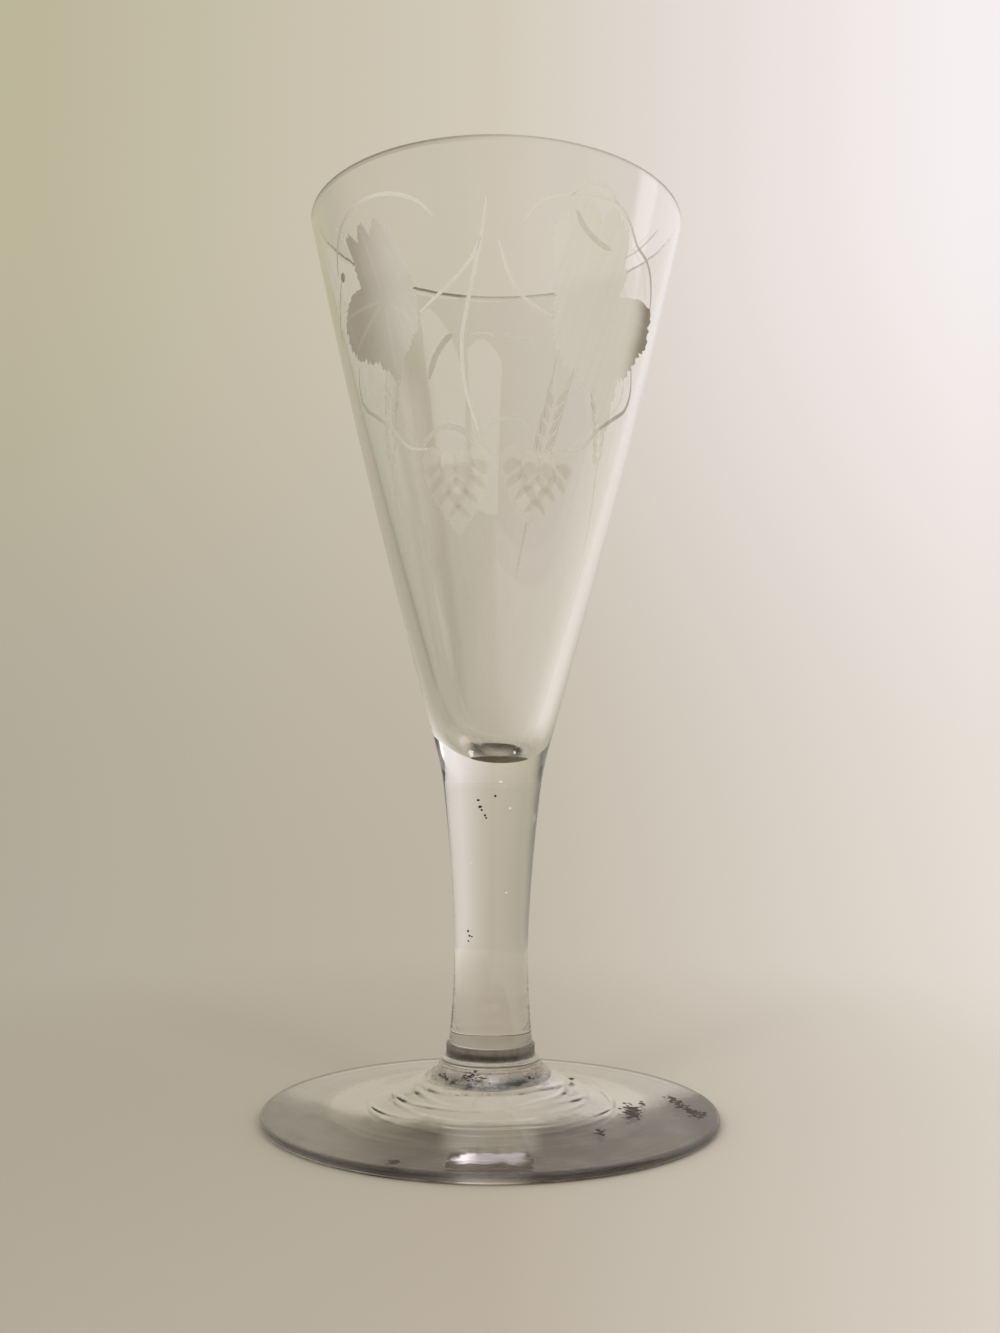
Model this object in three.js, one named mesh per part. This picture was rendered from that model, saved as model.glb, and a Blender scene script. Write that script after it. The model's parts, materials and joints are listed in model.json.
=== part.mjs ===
// A short stemmed ale glass of about 1800, blown and tooled by hand in clear soda glass.
// From the table upwards it is a spreading foot with the scar of the pontil iron under it,
// a thin collar, a plain waisted stem, and a tall conical bowl.
// Lengths are millimetres, +Z is up, and the origin is the middle of the ring that the foot rests on.

import * as THREE from 'three';

// Driving dimensions of the whole glass, from the table upwards
const footHeight = 8;
const collarHeight = 2.75;
const stemLength = 39.25;
const bowlHeight = 90;

// Round pieces are turned in this many steps, a multiple of four so that each reaches its full radius
// along X and along Y
const turnSteps = 48;

// Foot: a thin disc that rises to a neck in the middle and is hollowed underneath to match, so that
// its glass is about as thick everywhere
const footRadius = 34.5;
const footEdgeThickness = 1.4;
const restingRingWidth = 1.9;
const neckRadius = 7.9;
const neckRounding = 0.45;
const hollowRise = 4.4;
const pontilPadRadius = 8;

// The rings that the footboard left in the rise of the foot: low beads, placed as shares of the way
// from the neck out to the edge
const toolRingHeight = 0.08;
const toolRingWidth = 2.3;
const toolRingShares = [0.125, 0.25, 0.405];

// Collar: a flattened bead of glass between the foot and the stem, with a thin flange below
const flangeRadius = 7.45;
const flangeThickness = 0.75;
const bandRadius = 6.75;
const creaseDepth = 0.2;

// Stem: a plain waisted rod, which ends above in the same radius as the shank of the bowl
const stemBaseRadius = 6.4;
const stemWaistRadius = 5.65;
const stemWaistHeight = 13.4;
const shankRadius = 7.65;

// Bowl: a cone with barely bowed sides above a rounded heel, with a thin lip and thicker glass below
const rimRadius = 29.9;
const lipWall = 1;
const sideBow = 0.65;
const heelHeight = 9;
const heelRadius = 9.75;
const hollowFloorHeight = 3.8;
const shoulderHeight = 16;
const shoulderWall = 2.6;

// Scar of the pontil iron: a ragged ring of glass left stuck under the foot
const scarInnerRadius = 3.3;
const scarOuterRadius = 6.9;
const scarDepth = 0.9;

// Heights at which one piece is fused to the next
const collarSeat = footHeight;
const stemSeat = collarSeat + collarHeight;
const bowlSeat = stemSeat + stemLength;

// Clear glass with a slight grey cast, one material for each piece
function clearGlass(color) {
  return new THREE.MeshStandardMaterial({
    color, roughness: 0.06, metalness: 0, transparent: true, opacity: 0.35,
  });
}

// A point of an outline: its distance from the axis, and its height
function at(radius, height) {
  return new THREE.Vector2(radius, height);
}

// The points of an arc round a middle, between two angles in quarter turns from the outward direction
function arc(middle, radius, fromQuarter, toQuarter, steps) {
  const points = [];
  for (let i = 0; i <= steps; i += 1) {
    const angle = THREE.MathUtils.lerp(fromQuarter, toQuarter, i / steps) * Math.PI / 2;
    points.push(at(middle.x + radius * Math.cos(angle), middle.y + radius * Math.sin(angle)));
  }
  return points;
}

// An outline turned about the vertical axis. It runs outwards below, up the outside and back inwards.
function turned(outline) {
  const geometry = new THREE.LatheGeometry(outline, turnSteps);
  geometry.rotateX(Math.PI / 2);
  return geometry;
}

// How high the upper face of the foot stands at a radius: a rise that eases out towards the edge,
// with the beads of the tool rings on it
const riseStart = neckRadius;
const riseEnd = footRadius - footEdgeThickness / 2;
const riseTop = footHeight - neckRounding;

function footTop(radius) {
  const share = (radius - riseStart) / (riseEnd - riseStart);
  const steepness = 3;
  let height = footEdgeThickness + (riseTop - footEdgeThickness) * (1 - share) ** steepness;
  for (const ringShare of toolRingShares) {
    const away = Math.abs(radius - ringRadius(ringShare)) / (toolRingWidth / 2);
    if (away < 1) height += toolRingHeight * (1 + Math.cos(Math.PI * away)) / 2;
  }
  return height;
}

function ringRadius(ringShare) {
  return THREE.MathUtils.lerp(riseStart, riseEnd, ringShare);
}

// The radii at which the upper face of the foot needs a point: five across each bead, and a few
// on the plain slope outside the last one
function footTopRadii() {
  const radii = [];
  const beadShares = [-1, -0.5, 0, 0.5, 1];
  for (const ringShare of toolRingShares) {
    for (const beadShare of beadShares) {
      radii.push(ringRadius(ringShare) + beadShare * toolRingWidth / 2);
    }
  }
  const plainShares = [0.55, 0.68, 0.84];
  for (const plainShare of plainShares) radii.push(ringRadius(plainShare));
  return radii.filter((radius) => radius > riseStart && radius < riseEnd).sort((a, b) => a - b);
}

// The hollow underneath falls from a flat pad in the middle to the inner edge of the resting ring, in a
// curve a little gentler than the rise above it
function footHollow(ringStart) {
  const steepness = 2.6;
  const steps = 10;
  const points = [at(0, hollowRise)];
  for (let i = 0; i <= steps; i += 1) {
    const share = i / steps;
    const radius = THREE.MathUtils.lerp(pontilPadRadius, ringStart, share);
    points.push(at(radius, hollowRise * (1 - share) ** steepness));
  }
  return points;
}

function makeFoot() {
  const halfEdge = footEdgeThickness / 2;
  const edgeMiddle = at(footRadius - halfEdge, halfEdge);
  const neckMiddle = at(neckRadius - neckRounding, footHeight - neckRounding);
  return turned([
    ...footHollow(edgeMiddle.x - restingRingWidth),
    ...arc(edgeMiddle, halfEdge, -1, 1, 8),
    ...footTopRadii().reverse().map((radius) => at(radius, footTop(radius))),
    ...arc(neckMiddle, neckRounding, 0, 1, 3),
    at(0, footHeight),
  ]);
}

function makeCollar() {
  const halfFlange = flangeThickness / 2;
  const flangeMiddle = at(flangeRadius - halfFlange, halfFlange);
  return turned([
    at(0, 0),
    ...arc(flangeMiddle, halfFlange, -1, 1, 6),
    at(bandRadius, flangeThickness + halfFlange),
    at(bandRadius, collarHeight - creaseDepth),
    at(bandRadius - creaseDepth, collarHeight),
    at(0, collarHeight),
  ]);
}

// The stem narrows to its waist and then swells to the shank, each along a smooth power curve
function stemRadius(height) {
  const baseFlare = 2;
  const shankFlare = 1.6;
  if (height < stemWaistHeight) {
    const share = 1 - height / stemWaistHeight;
    return stemWaistRadius + (stemBaseRadius - stemWaistRadius) * share ** baseFlare;
  }
  const share = (height - stemWaistHeight) / (stemLength - stemWaistHeight);
  return stemWaistRadius + (shankRadius - stemWaistRadius) * share ** shankFlare;
}

function makeStem() {
  const outline = [at(0, 0), at(stemBaseRadius - creaseDepth, 0)];
  const steps = 12;
  const firstHeight = creaseDepth;
  for (let i = 0; i <= steps; i += 1) {
    const height = THREE.MathUtils.lerp(firstHeight, stemLength, i / steps);
    outline.push(at(stemRadius(height), height));
  }
  outline.push(at(0, stemLength));
  return turned(outline);
}

// How wide the cone of the bowl is outside, from the top of its heel to the middle of its lip
const lipMiddle = at(rimRadius - lipWall / 2, bowlHeight - lipWall / 2);
const coneRun = lipMiddle.y - heelHeight;

function coneRadius(height) {
  const share = (height - heelHeight) / coneRun;
  return THREE.MathUtils.lerp(heelRadius, rimRadius, share) + sideBow * Math.sin(Math.PI * share);
}

function wallThickness(height) {
  const share = (height - shoulderHeight) / (lipMiddle.y - shoulderHeight);
  return THREE.MathUtils.lerp(shoulderWall, lipWall, share);
}

// The outside carries on from the stem, swells round the heel and runs up the cone to the lip
function bowlOutside() {
  const handleShare = 0.32;
  const handle = heelHeight * handleShare;
  const coneSlope = (rimRadius - heelRadius + sideBow * Math.PI) / coneRun;
  const shankSlope = (shankRadius - stemRadius(stemLength - creaseDepth)) / creaseDepth;
  const heel = new THREE.CubicBezierCurve(
    at(shankRadius, 0),
    at(shankRadius + handle * shankSlope, handle),
    at(heelRadius - handle * coneSlope, heelHeight - handle),
    at(heelRadius, heelHeight),
  );
  const cone = heightsBetween(heelHeight, lipMiddle.y).map((height) => at(coneRadius(height), height));
  return [...heel.getPoints(6), ...cone];
}

// The hollow narrows down to its shoulder, carries on from there in the same slope and closes in a small
// rounded bottom
function bowlInside() {
  const insideAt = (height) => at(coneRadius(height) - wallThickness(height), height);
  const shoulder = insideAt(shoulderHeight);
  const depth = shoulderHeight - hollowFloorHeight;
  const closingShares = { depth: 0.7, bottomRadius: 0.5 };
  const bottom = new THREE.CubicBezierCurve(
    shoulder,
    insideAt(shoulderHeight - depth * closingShares.depth),
    at(shoulder.x * closingShares.bottomRadius, hollowFloorHeight),
    at(0, hollowFloorHeight),
  );
  return [...heightsBetween(lipMiddle.y, shoulderHeight).map(insideAt), ...bottom.getPoints(8)];
}

// The heights at which a bowed side needs a point between its two ends
function heightsBetween(from, to) {
  const steps = 6;
  const heights = [];
  for (let i = 1; i < steps; i += 1) heights.push(THREE.MathUtils.lerp(from, to, i / steps));
  return heights;
}

function makeBowl() {
  const lip = arc(lipMiddle, lipWall / 2, 0, 2, 6);
  return turned([at(0, 0), ...bowlOutside(), ...lip, ...bowlInside()]);
}

// The scar is a ring whose lower side was snapped off: it is cut to an uneven depth all the way round
function makePontilScar() {
  const middleRadius = (scarInnerRadius + scarOuterRadius) / 2;
  const breakShares = { edge: 0.45, wave: 0.4, ripple: 0.15 };
  const geometry = turned([
    at(scarInnerRadius, 0),
    at(scarInnerRadius, -scarDepth * breakShares.edge),
    at(middleRadius, -scarDepth),
    at(scarOuterRadius, -scarDepth * breakShares.edge),
    at(scarOuterRadius, 0),
    at(scarInnerRadius, 0),
  ]);
  const positions = geometry.getAttribute('position');
  for (let i = 0; i < positions.count; i += 1) {
    const angle = Math.atan2(positions.getY(i), positions.getX(i));
    const wave = breakShares.wave * Math.sin(2 * angle) + breakShares.ripple * Math.cos(7 * angle);
    positions.setZ(i, positions.getZ(i) * (1 - Math.abs(wave)));
  }
  return geometry;
}

// Each piece is a mesh of its own, standing on its seat
function place(name, geometry, seat, color) {
  const mesh = new THREE.Mesh(geometry, clearGlass(color));
  mesh.name = name;
  mesh.position.z = seat;
  return mesh;
}

const glass = new THREE.Group();
glass.add(
  place('foot', makeFoot(), 0, 0xc9c6bd),
  place('pontil_scar', makePontilScar(), hollowRise, 0xb4b0a6),
  place('collar', makeCollar(), collarSeat, 0xc4c0b7),
  place('stem', makeStem(), stemSeat, 0xd0cdc4),
  place('bowl', makeBowl(), bowlSeat, 0xd6d4cc),
);

export default glass;
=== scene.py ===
# %% [markdown]
# A short stemmed ale glass, blown and tooled by hand about 1800. It is nearly all clear glass, so its
# looks come from what the light does inside it: bent edges, a bright or a dark line at every change of
# thickness, and a matt wheel-cut pattern of hops and barley on the bowl.
#
# Each piece is turned here as a fine, smooth, closed mesh, because facets that a matt object would hide
# show as stripes in clear glass. The sizes of the coarse frame are the only thing that is read from disk.

# %% Start from an empty scene and load the frame
import json
import math
import random

import bmesh
import bpy
from mathutils import Matrix, Vector, noise

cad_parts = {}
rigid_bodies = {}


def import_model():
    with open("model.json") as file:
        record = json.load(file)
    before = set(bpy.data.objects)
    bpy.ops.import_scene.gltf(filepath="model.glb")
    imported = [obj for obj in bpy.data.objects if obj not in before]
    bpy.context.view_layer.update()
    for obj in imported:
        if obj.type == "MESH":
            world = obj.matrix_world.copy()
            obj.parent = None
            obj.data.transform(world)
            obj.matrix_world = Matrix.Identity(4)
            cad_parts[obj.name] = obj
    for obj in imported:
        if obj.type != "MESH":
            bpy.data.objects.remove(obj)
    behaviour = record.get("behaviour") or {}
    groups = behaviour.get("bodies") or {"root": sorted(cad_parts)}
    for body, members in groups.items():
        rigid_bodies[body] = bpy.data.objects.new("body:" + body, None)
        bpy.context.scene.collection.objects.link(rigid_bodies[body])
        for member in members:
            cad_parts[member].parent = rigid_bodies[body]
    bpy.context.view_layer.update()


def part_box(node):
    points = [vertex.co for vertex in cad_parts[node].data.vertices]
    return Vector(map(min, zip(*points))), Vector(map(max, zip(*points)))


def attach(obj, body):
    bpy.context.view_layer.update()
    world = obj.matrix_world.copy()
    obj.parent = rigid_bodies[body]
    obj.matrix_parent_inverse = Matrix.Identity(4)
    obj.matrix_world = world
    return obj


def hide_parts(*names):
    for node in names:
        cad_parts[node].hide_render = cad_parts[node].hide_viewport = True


for leftover in list(bpy.data.objects):
    bpy.data.objects.remove(leftover)

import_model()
scene = bpy.context.scene

# %% [markdown]
# The pieces stand on each other, so most sizes are read from the frame: where a piece starts and ends,
# and how wide it is at its widest. The few that a box cannot tell, such as the waist of the stem, are
# named in millimetres beside the piece that has them, and turned into metres there.

# %% Sizes from the frame
MM = 0.001


def node_span(name):
    """Lowest height, highest height and largest radius of a node of the frame, in metres."""
    low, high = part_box(name)
    return low[2], high[2], high[0]


foot_high, foot_radius = node_span("foot")[1:]
collar_low, collar_high, flange_radius = node_span("collar")
stem_low, stem_high, shank_radius = node_span("stem")
bowl_low, bowl_high, rim_radius = node_span("bowl")
scar_low, scar_high, scar_radius = node_span("pontil_scar")
print(f"glass {bowl_high / MM:.1f} mm high, rim {2 * rim_radius / MM:.1f} mm across")

# %% [markdown]
# The photograph was taken from close by, with the lens a third of the way up the glass and tipped a
# little upwards. That is why the rim is seen from below and the foot from above. The camera stands
# where the outlines of the rim and the foot fall on the photograph's, and it has its slight roll.

# %% Camera
camera_place = Vector((-0.35, -193.65, 48.9)) * MM
camera_pitch = math.radians(5.73)
camera_yaw = math.radians(0.42)
camera_roll = math.radians(0.37)
focal_length_pixels = 1236.0
photo_height_pixels = 1333.0

camera_data = bpy.data.cameras.new("camera")
camera_data.sensor_width = 36.0
camera_data.lens = focal_length_pixels / photo_height_pixels * camera_data.sensor_width
camera_data.clip_start = 5 * MM
camera = bpy.data.objects.new("camera", camera_data)
camera.matrix_world = (
    Matrix.Translation(camera_place)
    @ Matrix.Rotation(-camera_yaw, 4, "Z")
    @ Matrix.Rotation(math.pi / 2 + camera_pitch, 4, "X")
    @ Matrix.Rotation(camera_roll, 4, "Z")
)
scene.collection.objects.link(camera)
scene.camera = camera
scene.view_settings.view_transform = "Standard"
print(f"camera lens {camera_data.lens:.2f} mm")

# %% [markdown]
# Every piece of the glass is round, and so is the sheet that it stands on, so each is an outline turned
# about the axis. Spin closes on itself, and the doubled points at the poles are merged. Then the normals
# are made to face outwards, before anything else is done to the mesh.

# %% Turning
TURN_STEPS = 160
MERGE = 0.001 * MM


def arc_points(middle, radius, start, end, steps):
    """Points of an arc of an outline, between two angles in degrees from the outward direction."""
    points = []
    for step in range(steps + 1):
        angle = math.radians(start + (end - start) * step / steps)
        points.append((middle[0] + radius * math.cos(angle), middle[1] + radius * math.sin(angle)))
    return points


def spin_round(mesh, steps):
    """Spins all of a bmesh once round the axis and closes it."""
    bmesh.ops.spin(
        mesh, geom=list(mesh.verts) + list(mesh.edges), axis=(0, 0, 1), cent=(0, 0, 0), angle=math.tau,
        steps=steps, use_merge=True,
    )
    bmesh.ops.remove_doubles(mesh, verts=mesh.verts, dist=MERGE)
    bmesh.ops.recalc_face_normals(mesh, faces=mesh.faces)


def turn(outline, steps=TURN_STEPS):
    """A turned bmesh, from an outline of (radius, height) points."""
    mesh = bmesh.new()
    line = [mesh.verts.new((radius, 0, height)) for radius, height in outline]
    for pair in zip(line, line[1:]):
        mesh.edges.new(pair)
    spin_round(mesh, steps)
    return mesh


def add_object(name, mesh, materials):
    """Makes a smooth object of a bmesh, and frees the bmesh."""
    for face in mesh.faces:
        face.smooth = True
    data = bpy.data.meshes.new(name)
    mesh.to_mesh(data)
    mesh.free()
    for material in materials:
        data.materials.append(material)
    made = bpy.data.objects.new(name, data)
    scene.collection.objects.link(made)
    print(f"{name}: {len(data.polygons)} faces")
    return made


print("pieces are turned in", TURN_STEPS, "steps")

# %% [markdown]
# The glass stands on a seamless sheet that rises all round it, so no horizon shows in any view: a flat
# floor, a wide sweep and a wall, turned as one. It is seen from inside, so its faces are turned over.
# Shadows and the light on matt surfaces leave it out, so light from outside comes in through its wall.

# %% The sheet
floor_radius = 300 * MM
sweep_radius = 250 * MM
wall_top = 1200 * MM
floor_gap = 0.03 * MM

sheet_outline = [(0, -floor_gap), (floor_radius, -floor_gap)]
sheet_outline += arc_points((floor_radius, sweep_radius), sweep_radius, -90, 0, 24)[1:]
sheet_outline.append((floor_radius + sweep_radius, wall_top))
sheet = turn(sheet_outline, 96)
bmesh.ops.reverse_faces(sheet, faces=sheet.faces)
backdrop = add_object("backdrop", sheet, [])
backdrop.visible_diffuse = False
backdrop.visible_shadow = False

# %% [markdown]
# A node tree is easier to read when a node can be added and wired in one line. These helpers add a node
# with its settings, and fill an input with a plain value or with another node's output. A colour is
# written as a share of each channel, or as a picture shows it, from 0 to 255.

# %% Node helpers


def fill(socket, value):
    """Puts a plain value, or another node's output, into a socket."""
    value = getattr(value, "socket", value)
    if isinstance(value, bpy.types.NodeSocket):
        socket.id_data.links.new(value, socket)
    else:
        socket.default_value = value


def add_node(tree, kind, inputs=None, **settings):
    """Adds a node, sets its properties, and fills its inputs by name or by number."""
    node = tree.nodes.new(kind)
    for name, value in settings.items():
        setattr(node, name, value)
    for name, value in (inputs or {}).items():
        fill(node.inputs[name], value)
    return node


def new_material(name):
    """An empty material, and the tree to build in."""
    material = bpy.data.materials.new(name)
    material.use_nodes = True
    material.node_tree.nodes.clear()
    return material, material.node_tree


def principled(tree, inputs):
    """Ends a material with one Principled shader."""
    shader = add_node(tree, "ShaderNodeBsdfPrincipled", inputs)
    add_node(tree, "ShaderNodeOutputMaterial", {"Surface": shader.outputs["BSDF"]})


def tint(red, green, blue):
    """A colour as the share of light that each channel keeps."""
    return (red, green, blue, 1.0)


def srgb(red, green, blue):
    """A colour as a picture shows it, as the linear colour that a shader wants."""
    def linear(value):
        share = value / 255
        return share / 12.92 if share <= 0.04045 else ((share + 0.055) / 1.055) ** 2.4
    return tint(linear(red), linear(green), linear(blue))


print("a middle grey in a shader:", [round(share, 3) for share in srgb(128, 128, 128)])

# %% [markdown]
# Most marks on old glass are easy to say as a sum: so far behind a line, so near the axis, broken up by
# noise. Each step of such a sum is a Math, Map Range or Mix node. Amount lets the sum be written as a
# sum and adds its nodes on the way. Place stands for the place on the object.
#
# No such mark has a hard edge. So an edge is named as a pair of values, where it starts and where it
# ends, and the pair is unpacked into eased or faded.

# %% Sums with nodes


class Amount:
    """A number that nodes work out at each point of a surface."""

    def __init__(self, tree, socket):
        self.tree = tree
        self.socket = socket

    def math_node(self, operation, other=0.0):
        node = add_node(self.tree, "ShaderNodeMath", {0: self, 1: other}, operation=operation)
        return Amount(self.tree, node.outputs["Value"])

    def __add__(self, other):
        return self.math_node("ADD", other)

    def __sub__(self, other):
        return self.math_node("SUBTRACT", other)

    def __mul__(self, other):
        return self.math_node("MULTIPLY", other)

    def __abs__(self):
        return self.math_node("ABSOLUTE")

    def larger(self, other):
        return self.math_node("MAXIMUM", other)

    def eased(self, low, high, to_low=0.0, to_high=1.0):
        """Eases the amount over a range into another range, and keeps it level outside."""
        node = add_node(
            self.tree, "ShaderNodeMapRange",
            {"Value": self, "From Min": low, "From Max": high, "To Min": to_low, "To Max": to_high},
            interpolation_type="SMOOTHSTEP",
        )
        return Amount(self.tree, node.outputs["Result"])

    def faded(self, low, high, most=1.0):
        """Falls from its most to nothing over a range."""
        return self.eased(low, high, most, 0.0)

    def between(self, first, second):
        """A number that goes from the first to the second as this goes from 0 to 1."""
        node = add_node(
            self.tree, "ShaderNodeMix", {"Factor": self, 2: first, 3: second}, data_type="FLOAT",
        )
        return Amount(self.tree, node.outputs[0])

    def blend(self, first, second):
        """A colour that goes from the first to the second as this goes from 0 to 1."""
        node = add_node(
            self.tree, "ShaderNodeMix", {"Factor": self, 6: first, 7: second}, data_type="RGBA",
        )
        return node.outputs[2]


class Place:
    """The place on the object or another point, its coordinates, and noise and distances there."""

    def __init__(self, tree, point=None):
        self.tree = tree
        self.point = point or add_node(tree, "ShaderNodeTexCoord").outputs["Object"]
        parts = add_node(tree, "ShaderNodeSeparateXYZ", {"Vector": self.point})
        self.x, self.y, self.z = (Amount(tree, parts.outputs[axis]) for axis in "XYZ")

    def noise(self, scale, detail=3.0, stretch=None):
        """Cloudy noise. A stretch below 1 draws it out along an axis, and 0 leaves the axis out."""
        point = self.point
        if stretch:
            mapping = add_node(self.tree, "ShaderNodeMapping", {"Vector": point, "Scale": stretch})
            point = mapping.outputs["Vector"]
        node = add_node(
            self.tree, "ShaderNodeTexNoise", {"Vector": point, "Scale": scale, "Detail": detail},
        )
        return Amount(self.tree, node.outputs["Fac"])

    def distance(self, axes=(1.0, 1.0, 1.0)):
        """How far the place is from the origin, or along some of the axes only."""
        kept = add_node(
            self.tree, "ShaderNodeVectorMath", {0: self.point, 1: axes}, operation="MULTIPLY",
        )
        node = add_node(
            self.tree, "ShaderNodeVectorMath", {0: kept.outputs["Vector"]}, operation="LENGTH",
        )
        return Amount(self.tree, node.outputs["Value"])

    def from_axis(self):
        """How far the place is from the axis of the glass."""
        return self.distance((1.0, 1.0, 0.0))


print("steps of a sum:", [name for name in vars(Amount) if not name.startswith("__")])

# %% [markdown]
# Two shapes are needed twice, once on the floor and once on the foot. The painted shade on the front of the
# foot ends in a ragged line, which curves back on both sides, and behind it the glass gathers light. In
# front lies a small bright fleck, a painted highlight, where no painted shade shows.

# %% Where the painted shade ends, and the fleck
shade_line_front = -15.5 * MM
shade_line_half_width = 28.5 * MM
shade_line_slant = 0.08
shade_line_raggedness = 12 * MM
fleck_raggedness = 6 * MM
fleck_front = (-29.6 * MM, -28.4 * MM)
fleck_back = (-24.8 * MM, -23.0 * MM)
fleck_side = (3.8 * MM, 5.6 * MM)


def behind_line(place):
    """How far a place lies behind the ragged line."""
    bend = place.x * place.x * (-shade_line_front / shade_line_half_width ** 2)
    ragged = (place.noise(160.0, 8.0) - 0.5) * shade_line_raggedness
    return place.y - (bend + place.x * shade_line_slant + shade_line_front) + ragged


def fleck_mask(place):
    """Where the fleck of painted highlight is. Its edge is ragged in the same way on the floor and on the
    foot above it.
    """
    ragged = (place.noise(420.0, 6.0, stretch=(1.0, 1.0, 0.0)) - 0.5) * fleck_raggedness
    depth = place.y + ragged
    along = depth.eased(*fleck_front) * depth.faded(*fleck_back)
    return (abs(place.x) + ragged).faded(*fleck_side) * along


# The ragged line is where the painted shade on the front of the foot ends.
print(f"the stain ends {-shade_line_front / MM:.1f} mm in front of the axis")

# %% [markdown]
# The foot works as a lens and gathers light on the floor under it. The renderer does not trace such light
# well, so the floor glows there instead, as painted light: brightly behind the line, faintly to the left
# and where the stem's mirror image falls, and strongly in the fleck, a painted highlight of the stem's
# reflection. The glow belongs to the floor, not to the glass.

# %% Gathered light
glow_edge = (33.2 * MM, 34.2 * MM)
glow_front = (0.5 * MM, 9.5 * MM)
stem_glow_side = (4.0 * MM, 8.0 * MM)
stem_glow_front = (-26.0 * MM, -23.0 * MM)
stem_glow_share = 0.4
left_glow_side = (-24.0 * MM, -12.0 * MM)
left_glow_share = 0.28
patch_span = (-12.0 * MM, 12.0 * MM)
patch_brightness = (1.06, 0.96)
fleck_span = (-3.8 * MM, -1.0 * MM)
fleck_brightness = (4.6, 1.5)


def gathered_light(place, fleck):
    """Where the foot gathers light on the floor, and how brightly the floor glows there."""
    under_foot = place.distance().faded(*glow_edge)
    behind = behind_line(place).eased(*glow_front)
    under_stem = abs(place.x).faded(*stem_glow_side, stem_glow_share) * place.y.eased(*stem_glow_front)
    left = place.x.faded(*left_glow_side, left_glow_share)
    where = under_foot * behind.larger(under_stem + left).larger(fleck)
    in_patch = place.x.eased(*patch_span, *patch_brightness)
    in_fleck = place.x.eased(*fleck_span, *fleck_brightness)
    return where, fleck.between(in_patch, in_fleck)


print(f"the floor glows up to {glow_edge[1] / MM:.1f} mm from the axis")

# %% [markdown]
# The sheet is darker and a little green on the left and paler on the right, as in the photograph. Close to
# the glass it is a matt floor that can take a shadow. Further out it fades into a surface that glows
# with its own colour, so the background stays even, whatever the lamps do. Behind the camera it has one
# even tone. Glass mirrors what lies outside the picture too, so mirrored light sees a darker room at
# the sides. Directions round the sheet are angles in radians from the back, to the right.

# %% Paint for the sheet
high_wash = (srgb(189, 182, 155), srgb(211, 202, 186), srgb(246, 240, 241))
low_wash = (srgb(177, 169, 153), srgb(190, 180, 165), srgb(229, 221, 211))
# Tint of the painted highlight in the fleck.
fleck_highlight = srgb(190, 180, 184)
wash_height = (-20 * MM, 420 * MM)
fan_middle = 260 * MM
half_view = 0.345
left_side, left_shade = (-0.9, -0.45), 0.72
right_side, right_shade = (0.4, 0.8), 0.86
back_side, back_shade = (2.0, 3.0), 0.8
room_left, room_right, dark_room = (-0.9, -0.4), (1.12, 1.18), 0.25
matt_floor_edge = (50 * MM, 200 * MM)


def wash(across, colours):
    """A ramp of evenly spaced colours."""
    node = add_node(across.tree, "ShaderNodeValToRGB", {"Fac": across})
    ramp = node.color_ramp
    while len(ramp.elements) < len(colours):
        ramp.elements.new(0.5)
    for index, colour in enumerate(colours):
        ramp.elements[index].position = index / (len(colours) - 1)
        ramp.elements[index].color = colour
    return node.outputs["Color"]


def sheet_colour(tree, place):
    """The colour wash, fanned out from a point a little nearer than the camera, and its shade."""
    angle = place.x.math_node("ARCTAN2", place.y + fan_middle)
    across = angle * (0.5 / half_view) + 0.5
    height = place.z.eased(*wash_height)
    behind_camera = abs(angle).eased(*back_side)
    colour = behind_camera.blend(
        height.blend(wash(across, low_wash), wash(across, high_wash)),
        height.blend(low_wash[1], high_wash[1]),
    )
    sides = angle.eased(*left_side, left_shade, 1.0) * angle.eased(*right_side, 1.0, right_shade)
    seen = behind_camera.between(sides, back_shade)
    room = angle.eased(*room_left, dark_room, 1.0) * angle.eased(*room_right, 1.0, dark_room)
    mirrored = Amount(tree, add_node(tree, "ShaderNodeLightPath").outputs["Is Glossy Ray"])
    shade = mirrored.between(seen, room)
    shaded = add_node(tree, "ShaderNodeVectorMath", {0: colour, "Scale": shade}, operation="SCALE")
    return shaded.outputs["Vector"]


def paint_sheet():
    """Matt near the glass, softly glowing further out and where the foot gathers light."""
    material, tree = new_material("pale_sheet")
    place = Place(tree)
    fleck = fleck_mask(place)
    colour = fleck.blend(sheet_colour(tree, place), fleck_highlight)
    gathered, gathered_brightness = gathered_light(place, fleck)
    far = place.distance().eased(*matt_floor_edge)
    strength = gathered.between(1.0, gathered_brightness)
    matt = add_node(tree, "ShaderNodeBsdfDiffuse", {"Color": colour})
    glow = add_node(tree, "ShaderNodeEmission", {"Color": colour, "Strength": strength})
    mix = add_node(
        tree, "ShaderNodeMixShader",
        {0: far + gathered, 1: matt.outputs["BSDF"], 2: glow.outputs["Emission"]},
    )
    add_node(tree, "ShaderNodeOutputMaterial", {"Surface": mix.outputs["Shader"]})
    return material


backdrop.data.materials.append(paint_sheet())
print("backdrop painted with", backdrop.data.materials[0].name)

# %% [markdown]
# Light comes from all round. The window of the photograph stood on the right and shows as a pale panel in
# the upper right of the bowl, and three lit panes high up in front show in its middle, mirrored by the
# inside of the far wall. These lamps only make reflections. Two more, left and right in front, only light
# the floor, so that the stem casts a soft shadow to each side behind it.

# %% Light
world = bpy.data.worlds.new("soft_room")
world.use_nodes = True
world.node_tree.nodes.clear()
sky = add_node(world.node_tree, "ShaderNodeBackground", {"Color": srgb(250, 248, 246), "Strength": 0.9})
add_node(world.node_tree, "ShaderNodeOutputWorld", {"Surface": sky.outputs["Background"]})
scene.world = world


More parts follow.
